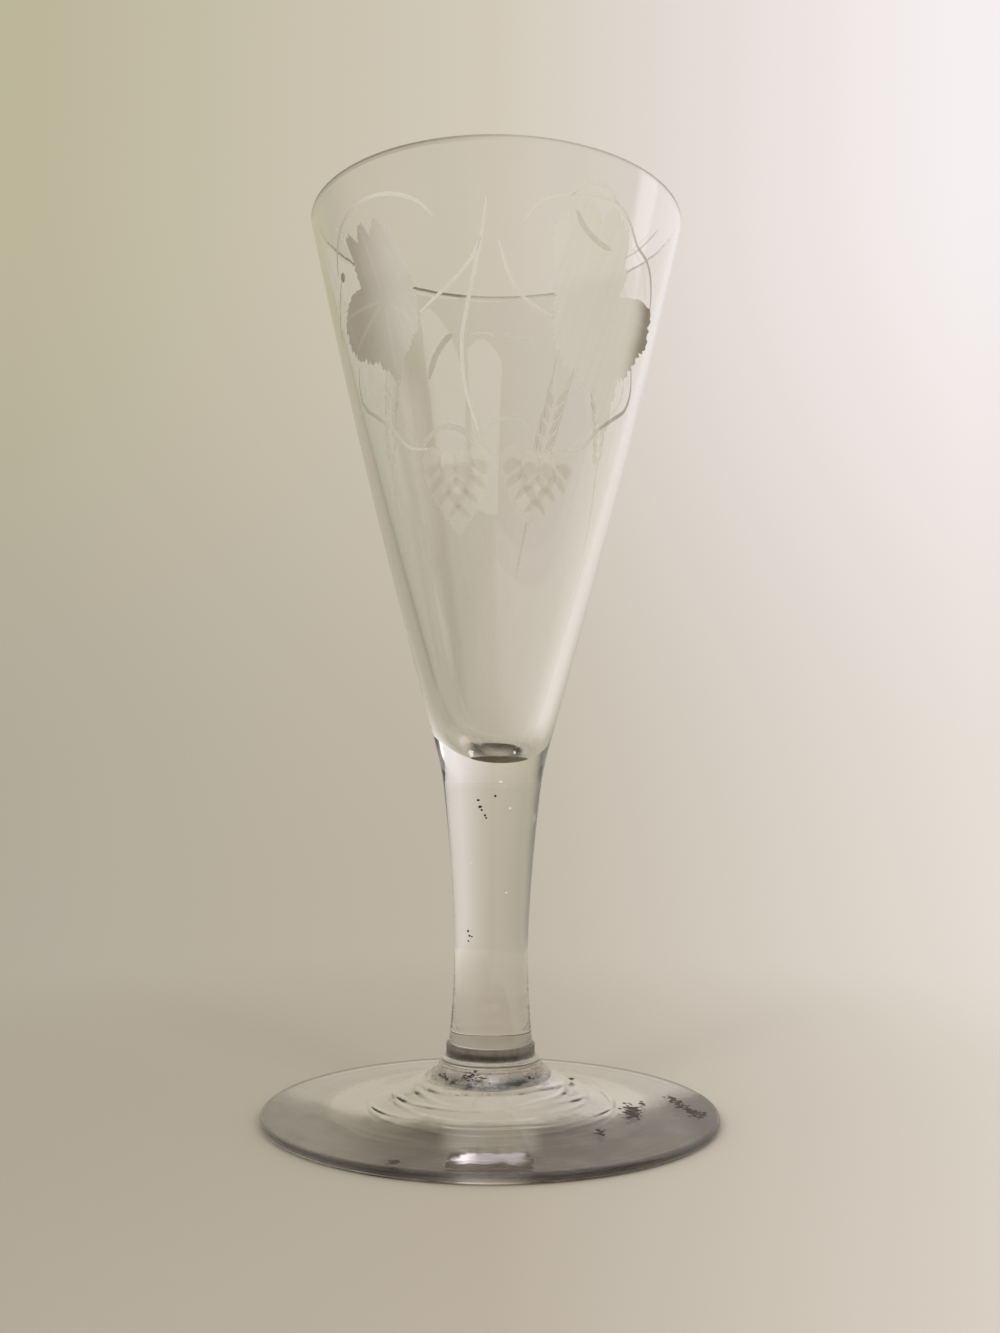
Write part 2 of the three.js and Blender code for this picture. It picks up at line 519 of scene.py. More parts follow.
def soft_lamp(name, place, aim, width, height, brightness):
    """A rectangular lamp that faces its aim, out of the camera's sight. A brightness of 1 looks white."""
    lamp_data = bpy.data.lights.new(name, "AREA")
    lamp_data.shape = "RECTANGLE"
    lamp_data.size = width
    lamp_data.size_y = height
    lamp_data.energy = brightness * math.pi * width * height
    lamp = bpy.data.objects.new(name, lamp_data)
    towards = Vector(aim) - Vector(place)
    lamp.matrix_world = Matrix.Translation(place) @ towards.to_track_quat("-Z", "Y").to_matrix().to_4x4()
    lamp.visible_camera = False
    scene.collection.objects.link(lamp)
    return lamp


def pane(name, compass, rise, width, height, brightness):
    """A lit pane in a direction from the middle of the bowl: degrees round from the back to the right,
    and degrees up."""
    middle = Vector((0, 0, 105 * MM))
    distance = 600 * MM
    compass, rise = math.radians(compass), math.radians(rise)
    way = Vector((
        math.sin(compass) * math.cos(rise), math.cos(compass) * math.cos(rise), math.sin(rise),
    ))
    lamp = soft_lamp(name, middle + way * distance, middle, width, height, brightness)
    lamp.visible_diffuse = False
    lamp.visible_transmission = False


window_lamp = soft_lamp(
    "window_lamp", place=(0.41, 0.06, 0.235), aim=(0, 0, 0.13), width=0.11, height=0.14, brightness=0.5,
)
window_lamp.visible_diffuse = False
pane("right_pane", compass=131, rise=43, width=0.27, height=0.15, brightness=1.3)
pane("middle_pane", compass=170, rise=46, width=0.22, height=0.11, brightness=1.4)
pane("left_pane", compass=222, rise=39, width=0.56, height=0.1, brightness=1.3)
for lamp_name, side in (("left_lamp", -1), ("right_lamp", 1)):
    shadow_lamp = soft_lamp(
        lamp_name, place=(side * 0.3, -0.4, 0.35), aim=(0, 0, 0.02), width=0.12, height=0.12,
        brightness=8.0,
    )
    shadow_lamp.visible_glossy = False
    shadow_lamp.visible_transmission = False

# %% [markdown]
# Old hand-made glass is never quite even. It was gathered, blown and marvered while it turned, so its
# skin carries faint waves, long ones round the bowl and fine ones that run up it. This group makes
# those waves once, as a height for a Bump node, and every piece of glass uses it with its own scale.

# %% Waves in the skin of the glass


def make_wave_group():
    """Height of the waves, from long swells and fine upright cords."""
    group = bpy.data.node_groups.new("blown_waves", "ShaderNodeTree")
    for name, default in (("Swell Scale", 60.0), ("Cord Scale", 400.0), ("Cord Share", 0.3)):
        socket = group.interface.new_socket(name, in_out="INPUT", socket_type="NodeSocketFloat")
        socket.default_value = default
    group.interface.new_socket("Height", in_out="OUTPUT", socket_type="NodeSocketFloat")
    given = group.nodes.new("NodeGroupInput").outputs
    place = Place(group)
    swell = place.noise(given["Swell Scale"], 1.0)
    cord = place.noise(given["Cord Scale"], 2.0, stretch=(1.0, 1.0, 0.08))
    height = Amount(group, given["Cord Share"]).between(swell, cord)
    add_node(group, "NodeGroupOutput", {"Height": height})
    return group


wave_group = make_wave_group()
print("group", wave_group.name, "puts out", [item.name for item in wave_group.interface.items_tree][-1])

# %% [markdown]
# Clear glass bends light, so the shader is all transmission with the index of soda glass, 1.51. A slight
# cast, drawn out upwards from one tint to another, and the waves keep it from looking like perfect
# glass. Where two pieces are fused there is no surface left for light to bend at, so the two faces that
# meet get a material that light passes straight through.

# %% Clear glass and fused joints
GLASS_INDEX = 1.51
tint_scale = 75.0
tint_stretch = (1.0, 1.0, 0.15)
tint_edge = (0.38, 0.62)


def clear_glass(name, tints, depth, swell, cord, cord_share, stain_and_shade=None, wear=None):
    """Clear glass between two tints, with waves of a given depth. Its function for marks and shade gives a
    darker colour and where it shows, for real stains and painted shade alike, and wear(place) how rough the
    glass is."""
    material, tree = new_material(name)
    place = Place(tree)
    waves = add_node(
        tree, "ShaderNodeGroup", {"Swell Scale": swell, "Cord Scale": cord, "Cord Share": cord_share},
        node_tree=wave_group,
    )
    bump = add_node(
        tree, "ShaderNodeBump", {"Height": waves.outputs["Height"], "Strength": 1.0, "Distance": depth},
    )
    colour = place.noise(tint_scale, 2.0, tint_stretch).eased(*tint_edge).blend(*tints)
    if stain_and_shade:
        stain_colour, where = stain_and_shade(place)
        colour = where.blend(colour, stain_colour)
    principled(tree, {
        "Base Color": colour, "Metallic": 0.0, "Roughness": wear(place) if wear else 0.0,
        "IOR": GLASS_INDEX, "Transmission Weight": 1.0, "Normal": bump.outputs["Normal"],
    })
    return material


def fused_joint():
    """The inside of the metal at a joint: nothing to see there."""
    material, tree = new_material("fused_joint")
    principled(tree, {"Base Color": tint(1.0, 1.0, 1.0), "Alpha": 0.0, "Roughness": 0.0})
    return material


joint_material = fused_joint()
print("joint material:", joint_material.name)

# %% [markdown]
# A finished piece of the glass is smooth, but for the few edges that are really sharp. It rides on the
# one body, because the pieces are fused, and it takes the place of its coarse node in the frame. Flat
# faces that meet another piece get the joint material, which is the second one of each piece.

# %% Finishing a piece
sharp_degrees = 40


def finish_piece(name, mesh, materials, node=None):
    """Makes a piece of a bmesh, which replaces a node of the frame where one is named."""
    piece = add_object(name, mesh, materials)
    piece.data.set_sharp_from_angle(angle=math.radians(sharp_degrees))
    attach(piece, "root")
    if node:
        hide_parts(node)
    return piece


def mark_joints(mesh, height, within):
    """Gives the flat faces at a height and within a radius the second material."""
    for face in mesh.faces:
        flat = all(abs(vert.co.z - height) < MERGE for vert in face.verts)
        if flat and face.calc_center_median().xy.length < within:
            face.material_index = 1


print("edges stay sharp from", sharp_degrees, "degrees")

# %% [markdown]
# Two hundred years leave their marks on the foot. A painted shade lies over its front, for the shaded floor
# seen through it, darker in the middle and at the right edge, and three patches of dirt lie on the right.
# The painted shade is missing in the fleck and under the stem's mirror image. Round the scar in the middle
# the glass has a warm cast and is dull in patches, and the ring that the glass stands on is worn matt. Each
# mark is a sum of the place, broken by noise.

# %% Painted shade, dirt and wear on the foot
pale_shade = tint(0.93, 0.91, 0.89)
dark_shade = tint(0.6, 0.56, 0.52)
cloudy_shade = tint(0.8, 0.77, 0.74)
front_shade = tint(0.5, 0.46, 0.41)
right_edge_shade = tint(0.34, 0.29, 0.25)
dirt = tint(0.33, 0.29, 0.23)
scar_cast = tint(0.97, 0.88, 0.81)
shade_line_edge = (-1.2 * MM, 0.6 * MM)
dark_shade_left = (-22.0 * MM, -8.0 * MM)
front_shade_left = (-20.0 * MM, -10.0 * MM)
front_shade_back = (-28.0 * MM, -22.0 * MM)
right_edge_shade_left = (26.5 * MM, 30.5 * MM)
stem_image_side = (5.5 * MM, 7.5 * MM)
stem_image_front = (-25.0 * MM, -22.0 * MM)
scar_zone_edge = (8.2 * MM, 9.6 * MM)
dirt_patches = ((21.0, -5.4, 3.6), (28.2, 0.5, 3.8), (29.4, -4.0, 3.8))
resting_wear_top, resting_wear = (0.05 * MM, 0.35 * MM), 0.35
neck_wear_start, neck_wear = (4.6 * MM, 5.6 * MM), 0.1
scar_wear = (0.5, 0.16)


def near_scar(place):
    """The middle of the foot, as far as the scar and the dull glass round it reach."""
    return place.from_axis().faded(*scar_zone_edge)


def foot_dirt_and_shade(place):
    """The colour of the painted shade and of the marks on the foot, and where they lie."""
    # Painted shade for the shaded floor seen through the foot: darker to the right, darker still in front
    # and at the right edge.
    foot_shade = place.x.eased(*dark_shade_left).blend(pale_shade, dark_shade)
    colour = place.noise(190.0).eased(0.4, 0.7).blend(foot_shade, cloudy_shade)
    front = place.y.faded(*front_shade_back) * place.x.eased(*front_shade_left)
    colour = (front * place.noise(260.0, 6.0).eased(0.42, 0.58)).blend(colour, front_shade)
    colour = place.x.eased(*right_edge_shade_left).blend(colour, right_edge_shade)
    for middle_x, middle_y, reach in dirt_patches:
        off_x, off_y = place.x - middle_x * MM, place.y - middle_y * MM
        dirty = (off_x * off_x + off_y * off_y).faded(0.0, (reach * MM) ** 2)
        grain = place.noise(700.0, 5.0).eased(0.4, 0.6, 0.2, 1.0)
        colour = (dirty * grain).blend(colour, dirt)
    scar_zone = near_scar(place)
    colour = scar_zone.blend(colour, scar_cast)
    under_stem = abs(place.x).faded(*stem_image_side) * place.y.eased(*stem_image_front)
    share_that_stays = fleck_mask(place) * -0.9 + under_stem * -0.95 + 1.0
    in_front = behind_line(place).faded(*shade_line_edge)
    return colour, in_front * share_that_stays + scar_zone


def foot_wear(place):
    """Matt where the foot touches the table, dull in patches round the scar, a little soft at the neck."""
    resting = place.z.faded(*resting_wear_top, resting_wear)
    neck = place.z.eased(*neck_wear_start, 0.0, neck_wear)
    dull = place.noise(420.0, 4.0).eased(0.42, 0.58, *scar_wear)
    return resting + neck + near_scar(place) * dull


foot_material = clear_glass(
    "foot_glass", (tint(0.97, 0.96, 0.945), tint(1.0, 0.995, 0.99)), depth=0.02 * MM, swell=150.0,
    cord=500.0, cord_share=0.1, stain_and_shade=foot_dirt_and_shade, wear=foot_wear,
)
print("foot material:", foot_material.name)

# %% [markdown]
# The foot was dropped on as a gather and spread between boards while the glass turned. Its rise eases
# out into an almost flat rim, and the boards left rings in it. Underneath it is hollowed to match, so
# the glass stands on a narrow ring and the scar in the middle stays clear of the table.
#
# The rings here are narrower and lower than the coarse frame's. Noise that closes on itself makes them
# wander, swell and fade on the way round, as hand work does.

# %% Foot
foot_edge = 1.4 * MM
resting_ring = 1.9 * MM
neck_radius = 7.9 * MM
neck_rounding = 0.45 * MM
pontil_pad_radius = 8.0 * MM
rise_end = foot_radius - foot_edge / 2
rise_top = foot_high - neck_rounding
rise_steepness = 3
hollow_steepness = 2.6
tool_ring_height = 0.06 * MM
tool_ring_width = 1.3 * MM
tool_ring_wander = 0.9 * MM
tool_ring_shares = (0.125, 0.25, 0.405)
streak_height = 0.008 * MM
flange_thickness = 0.75 * MM


def foot_top(radius):
    """Height of the upper face of the foot at a radius, without its rings."""
    share = (radius - neck_radius) / (rise_end - neck_radius)
    return foot_edge + (rise_top - foot_edge) * (1 - share) ** rise_steepness


def round_noise(place, beats, spacing, start=0):
    """Noise that closes on itself round the axis, with its beats on the way round and its spacing
    outwards."""
    way = place.xy / place.xy.length * beats
    return noise.noise((way.x, way.y, place.xy.length / spacing + start))


def ring_relief(place):
    """How far the rings and the fine streaks between them stand out at a place."""
    relief = streak_height * round_noise(place, 2.2, 0.8 * MM)
    strength = min(1.0, max(0.2, 0.6 + round_noise(place, 2.6, 3 * MM, 20)))
    radius = place.xy.length + tool_ring_wander * round_noise(place, 1.7, 9 * MM)
    for share in tool_ring_shares:
        ring_radius = neck_radius + (rise_end - neck_radius) * share
        away = abs(radius - ring_radius) / (tool_ring_width / 2)
        if away < 1:
            relief += tool_ring_height * strength * (1 + math.cos(math.pi * away)) / 2
    return relief


def make_foot():
    half_edge = foot_edge / 2
    ring_start = rise_end - resting_ring
    outline = [(0, scar_high)]
    under_steps = 60
    for step in range(under_steps + 1):
        share = step / under_steps
        radius = pontil_pad_radius + (ring_start - pontil_pad_radius) * share
        outline.append((radius, scar_high * (1 - share) ** hollow_steepness))
    outline += arc_points((rise_end, half_edge), half_edge, -90, 90, 24)
    top_steps = 200
    for step in range(1, top_steps):
        radius = rise_end + (neck_radius - rise_end) * step / top_steps
        outline.append((radius, foot_top(radius)))
    outline += arc_points((neck_radius - neck_rounding, rise_top), neck_rounding, 0, 90, 8)
    joint_radius = flange_radius - flange_thickness / 2
    outline += [(joint_radius, foot_high), (0, foot_high)]
    mesh = turn(outline)
    for vert in mesh.verts:
        radius = vert.co.xy.length
        if neck_radius < radius < rise_end - MERGE and abs(vert.co.z - foot_top(radius)) < MERGE:
            vert.co.z += ring_relief(vert.co) * min(1.0, (radius - neck_radius) / MM)
    mark_joints(mesh, foot_high, joint_radius)
    return finish_piece("foot_glass", mesh, [foot_material, joint_material], "foot")


make_foot()

# %% [markdown]
# A small bead of glass joins the foot to the stem. It was squeezed to a short band, and a thin flange
# spreads from it below. A fine crease is left where the stem was set on it. The band is of darker, duller
# metal, darkest in front, so it shows as one dark line. Its back is painted paler, because that half is
# seen through the stem as well.

# %% Collar
band_radius = 6.75 * MM
crease = 0.2 * MM
stem_base_radius = 6.4 * MM
band_tints = (tint(0.16, 0.13, 0.105), tint(0.26, 0.22, 0.19))
band_back = tint(0.6, 0.55, 0.49)
band_back_start = (-1.0 * MM, 3.0 * MM)
band_start = (collar_low + 0.8 * MM, collar_low + 1.1 * MM)
dull_start = (collar_low + 0.9 * MM, collar_low + 1.2 * MM)
band_roughness = 0.35


def smoky_band(place):
    """The band of the collar, between its flange and the crease under the stem."""
    colour = place.noise(900.0).eased(0.35, 0.65).blend(*band_tints)
    colour = place.y.eased(*band_back_start).blend(colour, band_back)
    return colour, place.z.eased(*band_start)


def band_wear(place):
    """The band is dull, and the flange below it is not."""
    return place.z.eased(*dull_start, 0.0, band_roughness)


def make_collar():
    half_flange = flange_thickness / 2
    outline = [(0, collar_low)]
    outline += arc_points((flange_radius - half_flange, collar_low + half_flange), half_flange, -90, 90, 16)
    outline += [
        (band_radius + crease, collar_low + flange_thickness + crease / 2),
        (band_radius, collar_low + flange_thickness + half_flange),
    ]
    outline += arc_points((band_radius - crease, collar_high - crease), crease, 0, 90, 8)
    outline += [(stem_base_radius - crease, collar_high), (0, collar_high)]
    mesh = turn(outline)
    mark_joints(mesh, collar_low, flange_radius)
    mark_joints(mesh, collar_high, stem_base_radius - crease)
    return finish_piece("collar_glass", mesh, [collar_material, joint_material], "collar")


collar_material = clear_glass(
    "collar_glass", (tint(0.92, 0.9, 0.86), tint(0.95, 0.94, 0.91)), depth=0.01 * MM, swell=110.0,
    cord=700.0, cord_share=0.5, stain_and_shade=smoky_band, wear=band_wear,
)
make_collar()

# %% [markdown]
# The stem is a solid rod that was drawn out while soft, so it is waisted: it thins quickly above the
# collar and swells slowly towards the bowl. Two power curves that meet at the waist give that line. Light
# goes a long way through it, so its cast is the greyest of all.

# %% Stem
stem_waist_radius = 5.65 * MM
stem_waist_height = 13.4 * MM
stem_length = stem_high - stem_low
base_flare = 2.0
shank_flare = 1.6


def stem_radius(height):
    """Radius of the stem at a height above its foot."""
    if height < stem_waist_height:
        share = 1 - height / stem_waist_height
        return stem_waist_radius + (stem_base_radius - stem_waist_radius) * share ** base_flare
    share = (height - stem_waist_height) / (stem_length - stem_waist_height)
    return stem_waist_radius + (shank_radius - stem_waist_radius) * share ** shank_flare


def make_stem():
    outline = [(0, stem_low)]
    outline += arc_points((stem_radius(crease) - crease, stem_low + crease), crease, -90, 0, 8)
    steps = 80
    for step in range(1, steps + 1):
        height = crease + (stem_length - crease) * step / steps
        outline.append((stem_radius(height), stem_low + height))
    outline.append((0, stem_high))
    mesh = turn(outline)
    for height in (stem_low, stem_high):
        mark_joints(mesh, height, shank_radius)
    return finish_piece("stem_glass", mesh, [stem_material, joint_material], "stem")


stem_material = clear_glass(
    "stem_glass", (tint(0.88, 0.875, 0.84), tint(0.96, 0.95, 0.935)), depth=0.012 * MM, swell=110.0,
    cord=700.0, cord_share=0.6,
)
make_stem()

# %% [markdown]
# The bowl is a cone whose sides are bowed by less than a millimetre. Its wall thickens from one
# millimetre at the lip to nearly three at the bottom, where the hollow closes in a small round end.
# That end works as a strong lens, and it shows as the dark oval at the top of the stem. It lies a little
# to the right of the axis, as it does on the real glass.

# %% Outline of the bowl
lip_wall = 1.0 * MM
side_bow = 0.65 * MM
heel_height = 9.0 * MM
heel_radius = 9.75 * MM
hollow_floor = bowl_low + 3.8 * MM
hollow_offset = 0.8 * MM
shoulder = bowl_low + 16.0 * MM
shoulder_wall = 2.6 * MM
lip_middle = (rim_radius - lip_wall / 2, bowl_high - lip_wall / 2)
heel_top = bowl_low + heel_height
cone_run = lip_middle[1] - heel_top


def cone_radius(height):
    """Outside radius of the bowl's cone at a height above the table."""
    share = (height - heel_top) / cone_run
    return heel_radius + (rim_radius - heel_radius) * share + side_bow * math.sin(math.pi * share)


def inside_radius(height):
    """Inside radius of the bowl at a height, from its shoulder to its lip."""
    share = (height - shoulder) / (lip_middle[1] - shoulder)
    return cone_radius(height) - (shoulder_wall + (lip_wall - shoulder_wall) * share)


def bezier(points, steps):
    """Points of a cubic Bezier curve through (radius, height) handles."""
    found = []
    for step in range(steps + 1):
        t = step / steps
        weights = ((1 - t) ** 3, 3 * t * (1 - t) ** 2, 3 * t * t * (1 - t), t ** 3)
        found.append(tuple(sum(w * p[axis] for w, p in zip(weights, points)) for axis in (0, 1)))
    return found


def hollow_end():
    """The outline of the closed end of the hollow, from its shoulder down to the axis."""
    closing_depth_share, bottom_radius_share = 0.7, 0.5
    handle_height = shoulder - (shoulder - hollow_floor) * closing_depth_share
    return bezier([
        (inside_radius(shoulder), shoulder),
        (inside_radius(handle_height), handle_height),
        (inside_radius(shoulder) * bottom_radius_share, hollow_floor),
        (0, hollow_floor),
    ], 40)


def lean_hollow(vert):
    """Moves a point of the hollow's end a little to the right, most at its bottom."""
    down = (shoulder - vert.co.z) / (shoulder - hollow_floor)
    vert.co.x += hollow_offset * min(1.0, down) ** 2


print(f"hollow {(lip_middle[1] - hollow_floor) / MM:.1f} mm deep")

# %% [markdown]
# The bowl has marks of its own, and some painted shade. Old drink has left brown and a dull film in the
# small round end of the hollow. A dark line of painted shade runs round the lip, heaviest at the back, where
# the lip is also worn dull. A soft streak of painted shade runs down the left of the cone.

# %% Marks and painted shade on the bowl
drink_stain = tint(0.6, 0.54, 0.42)
# Colours of the painted shade: the dark line at the lip, and the streak down the left.
lip_shade = tint(0.4, 0.35, 0.29)
streak_shade = tint(0.96, 0.955, 0.95)
streak_compass, streak_half_width = -35.0, (3.0, 12.0)
streak_low, streak_high = (56 * MM, 72 * MM), (104 * MM, 118 * MM)
film_start = bowl_low + (hollow_floor - bowl_low) * 0.9
film_side, film_roughness = (4.0 * MM, 5.6 * MM), 0.3
drink_top = (film_start, hollow_floor + 1.6 * MM)
drink_side = (3.0 * MM, 3.6 * MM)
line_start = (bowl_high - 0.75 * MM, bowl_high - 0.5 * MM)
line_back = (-2 * MM, 6 * MM)
front_line_right, front_line_share = (-14 * MM, 6 * MM), 0.6
back_line_left, back_line_shares = (-8 * MM, -3 * MM), (1.0, 0.15)
back_line_right, right_line_share = (8 * MM, 14 * MM), 0.35
worn_start = (bowl_high - 1.2 * MM, bowl_high - 0.8 * MM)
worn_back = (0.0, 5 * MM)
worn_left, worn_right, worn_roughness = (-7 * MM, -2 * MM), (6 * MM, 13 * MM), 0.4


def shaded_streak(place):
    """A soft streak of painted shade between two heights, some degrees round from the front."""
    compass = place.x.math_node("ARCTAN2", place.y * -1.0) * math.degrees(1)
    across = abs(compass - streak_compass).faded(*streak_half_width)
    along = place.z.eased(*streak_low) * place.z.faded(*streak_high)
    return across * along * place.noise(150.0).eased(0.2, 0.5, 0.7, 1.0)


def bowl_marks_and_shade(place):
    """The colour of the drink's brown and of the painted shade at the lip and in the streak, and where they
    lie.
    """
    low = place.z.faded(*drink_top)
    inside = place.from_axis().faded(*drink_side)
    drink = low * inside * place.noise(500.0).eased(0.3, 0.6, 0.5, 1.0)
    # Painted shade: a dark line round the lip, heaviest at the back.
    at_the_lip = place.z.eased(*line_start)
    in_front = place.x.faded(*front_line_right, front_line_share)
    left = place.x.eased(*back_line_left, *back_line_shares)
    behind = left + place.x.eased(*back_line_right, 0.0, right_line_share)
    lip = at_the_lip * place.y.eased(*line_back).between(in_front, behind)
    streak = shaded_streak(place)
    colour = streak.blend(at_the_lip.blend(drink_stain, lip_shade), streak_shade)
    return colour, drink + lip + streak


def bowl_wear(place):
    """A film of drink at the end of the hollow, and the worn middle of the back of the lip."""
    film = place.from_axis().faded(*film_side, film_roughness) * place.z.eased(film_start, hollow_floor)
    at_the_lip = place.z.eased(*worn_start) * place.y.eased(*worn_back)
    middle = place.x.eased(*worn_left, 0.0, worn_roughness) * place.x.faded(*worn_right)
    return film + at_the_lip * middle


bowl_material = clear_glass(
    "bowl_glass", (tint(0.97, 0.98, 0.95), tint(1.0, 0.99, 0.99)), depth=0.015 * MM, swell=80.0,
    cord=500.0, cord_share=0.4, stain_and_shade=bowl_marks_and_shade, wear=bowl_wear,
)
print("bowl material:", bowl_material.name)

# %% [markdown]
# The bowl's outline carries on from the stem, swells round the heel, runs up the cone, rounds the lip and
# goes down the inside to the end of the hollow. It is turned in one, so the wall is real glass with two
# surfaces, and the light bends at both.

# %% Bowl


def make_bowl():
    handle = heel_height * 0.32
    cone_slope = (rim_radius - heel_radius + side_bow * math.pi) / cone_run
    shank_slope = (shank_radius - stem_radius(stem_length - crease)) / crease
    outline = [(0, bowl_low)]
    outline += bezier([
        (shank_radius, bowl_low),
        (shank_radius + handle * shank_slope, bowl_low + handle),
        (heel_radius - handle * cone_slope, heel_top - handle),
        (heel_radius, heel_top),
    ], 30)
    side_steps = 60
    for step in range(1, side_steps):
        height = heel_top + cone_run * step / side_steps
        outline.append((cone_radius(height), height))
    outline += arc_points(lip_middle, lip_wall / 2, 0, 180, 16)
    for step in range(1, side_steps):
        height = lip_middle[1] + (shoulder - lip_middle[1]) * step / side_steps
        outline.append((inside_radius(height), height))
    outline += hollow_end()
    mesh = turn(outline)
    for vert in mesh.verts:
        low = hollow_floor - MERGE < vert.co.z < shoulder
        if low and vert.co.xy.length < cone_radius(max(vert.co.z, heel_top)) - 2 * MM:
            lean_hollow(vert)
    mark_joints(mesh, bowl_low, shank_radius * 1.01)
    return finish_piece("bowl_glass", mesh, [bowl_material, joint_material], "bowl")


make_bowl()

# %% [markdown]
# When the foot was done, the glass was taken up on a pontil iron stuck under it with a dab of glass, so
# that the lip could be finished. The iron was then knocked off, and its dab broke away in a ragged ring.
# An uneven ring with sharp little peaks stands for that break. Its top lies flat against the foot.

# %% Scar of the pontil iron
scar_inner_share = 0.48
scar_edge_share = 0.45
break_scale = 0.81 / MM
break_roughness = 0.6
break_gap = 2.0
break_octaves = 4
break_gain = 1.5
least_break = 0.25


def make_scar():
    depth = scar_high - scar_low
    inner = scar_radius * scar_inner_share
    low_edge = scar_high - depth * scar_edge_share
    corners = [
        (inner, scar_high), (inner, low_edge), ((inner + scar_radius) / 2, scar_low),
        (scar_radius, low_edge), (scar_radius, scar_high),
    ]
    mesh = bmesh.new()
    loop = [mesh.verts.new((radius, 0, height)) for radius, height in corners]
    edges = [mesh.edges.new(pair) for pair in zip(loop, loop[1:] + loop[:1])]
    bmesh.ops.subdivide_edges(mesh, edges=edges, cuts=3)
    spin_round(mesh, 120)
    for vert in mesh.verts:
        below = scar_high - vert.co.z
        if below > MERGE:
            rough = noise.fractal(vert.co * break_scale, break_roughness, break_gap, break_octaves)
            broken = (0.5 + 0.5 * rough) * break_gain
            vert.co.z = scar_high - below * min(1.0, max(least_break, broken))
    mark_joints(mesh, scar_high, scar_radius)
    return finish_piece(
        "pontil_scar_glass", mesh, [scar_material, joint_material], "pontil_scar",
    )


scar_material = clear_glass(
    "scar_glass", (tint(0.55, 0.48, 0.42), tint(0.74, 0.68, 0.63)), depth=0.15 * MM, swell=900.0,
    cord=1400.0, cord_share=0.4,
)
make_scar()

# %% [markdown]
# The pattern was cut with small copper wheels and left matt. Hop leaves, tendrils and hanging cones are
# the old sign for a glass meant for ale, and ears of barley usually stand on the other side.
#
# A cut surface scatters light, and the pattern follows a cone. So each motif is first made flat, in
# millimetres across and up, as a thin plate. A wrap then lays it on the bowl, turned to its own place
# round it. Only the outer face of a plate is matt. Its back and edges let light straight through, so
# the plate adds no second sheet of glass.

# %% Laying a flat motif on the bowl
plate_gap = 0.012 * MM
plate_depth = 0.05 * MM
least_depth_share = 0.15


def wrap(mesh, degrees, height, gap=plate_gap):
    """Lays a flat plate, made round its own origin with its thickness along Z, on the bowl at an angle
    round from the front and a height."""
    for vert in mesh.verts:
        across, up, lift = vert.co
        radius = cone_radius(height + up)
        angle = math.radians(degrees) + across / radius
        reach = radius + gap + lift
        vert.co = (reach * math.sin(angle), -reach * math.cos(angle), height + up)


def thicken(mesh, relief):
    """Gives a flat sheet its thickness. relief(vert) says how much of the depth the outer face has."""
    raised = bmesh.ops.extrude_face_region(mesh, geom=list(mesh.faces), use_keep_orig=True)
    outer_faces = [item for item in raised["geom"] if isinstance(item, bmesh.types.BMFace)]
    for vert in raised["geom"]:
        if isinstance(vert, bmesh.types.BMVert):
            vert.co.z = plate_depth * (least_depth_share + (1 - least_depth_share) * relief(vert))
    for face in mesh.faces:
        face.material_index = 1
    for face in outer_faces:
        face.material_index = 0
    bmesh.ops.recalc_face_normals(mesh, faces=mesh.faces)


def polar_sheet(rings, spokes):
    """A flat round sheet of radius 1 with points on rings and spokes. Each point keeps its distance from
    the middle as its share, whatever shape the sheet is pulled to."""
    mesh = turn([(ring / rings, 0) for ring in range(rings + 1)], spokes)
    share = mesh.verts.layers.float.new("share")
    for vert in mesh.verts:
        vert[share] = vert.co.length
    return mesh


print(f"plates are {plate_depth / MM:.2f} mm thick and lie {plate_gap / MM:.3f} mm off the bowl")

# %% [markdown]
# Matt cutting is rough glass: it blurs what is behind it and catches light from everywhere, so it looks
# milky from the front and dark where it turns away. That darkness is painted shade, a darker colour from
# each plate's attribute. The wheel ran to and fro in strokes, and these show as fine lines in the roughness
# and the height of the surface. A cut that is seen through more glass looks softer, so it bends the light
# less.

# %% Matt cut glass
pale_cut = (srgb(236, 232, 222), srgb(252, 250, 244))
# Colour of the painted shade on the cuts.
cut_shade_colour = srgb(118, 103, 80)
stroke_stretch = (90.0, 3.0, 1.0)
stroke_roughness = (0.55, 0.35)
grit_scale = 6000.0
grit_share = 0.35


def cut_glass(name, index, share):
    """Matt glass that bends light by an index and lets a share of it through."""
    material, tree = new_material(name)
    along_strokes = Place(tree, add_node(tree, "ShaderNodeUVMap", uv_map="strokes").outputs["UV"])
    strokes = along_strokes.noise(1.0, 2.0, stroke_stretch)
    grit = Place(tree).noise(grit_scale, 2.0)
    height = add_node(tree, "ShaderNodeMix", {"Factor": grit_share, 2: strokes, 3: grit}, data_type="FLOAT")
    bump = add_node(
        tree, "ShaderNodeBump", {"Height": height.outputs[0], "Strength": 0.6, "Distance": 0.02 * MM},
    )
    # The attribute read here is painted shade, which darkens the cut where it turns away.
    cut_shade = Amount(tree, add_node(tree, "ShaderNodeAttribute", attribute_name="cut_shade").outputs["Fac"])
    principled(tree, {
        "Base Color": cut_shade.blend(strokes.blend(*pale_cut), cut_shade_colour), "Metallic": 0.0,
        "Roughness": strokes.eased(0.3, 0.7, *stroke_roughness),
        "IOR": index, "Transmission Weight": share, "Normal": bump.outputs["Normal"],
    })
    return material


front_cut = cut_glass("frosted_glass", index=1.2, share=0.75)
soft_cut = cut_glass("frosted_glass_soft", index=1.06, share=0.88)
back_cut = cut_glass("frosted_glass_behind", index=1.05, share=0.93)
print("matt materials:", front_cut.name, soft_cut.name, back_cut.name)

# %% [markdown]
# Two things about a cut change from plate to plate: which way the wheel's strokes run, and how much painted
# shade the cut gets, which is more towards the sides of the bowl. The strokes are a UV map and the painted
# shade is an attribute of the plate, so one material can serve all plates.

# %% Strokes, painted shade and pieces of the pattern
side_start = 36
side_end = 60


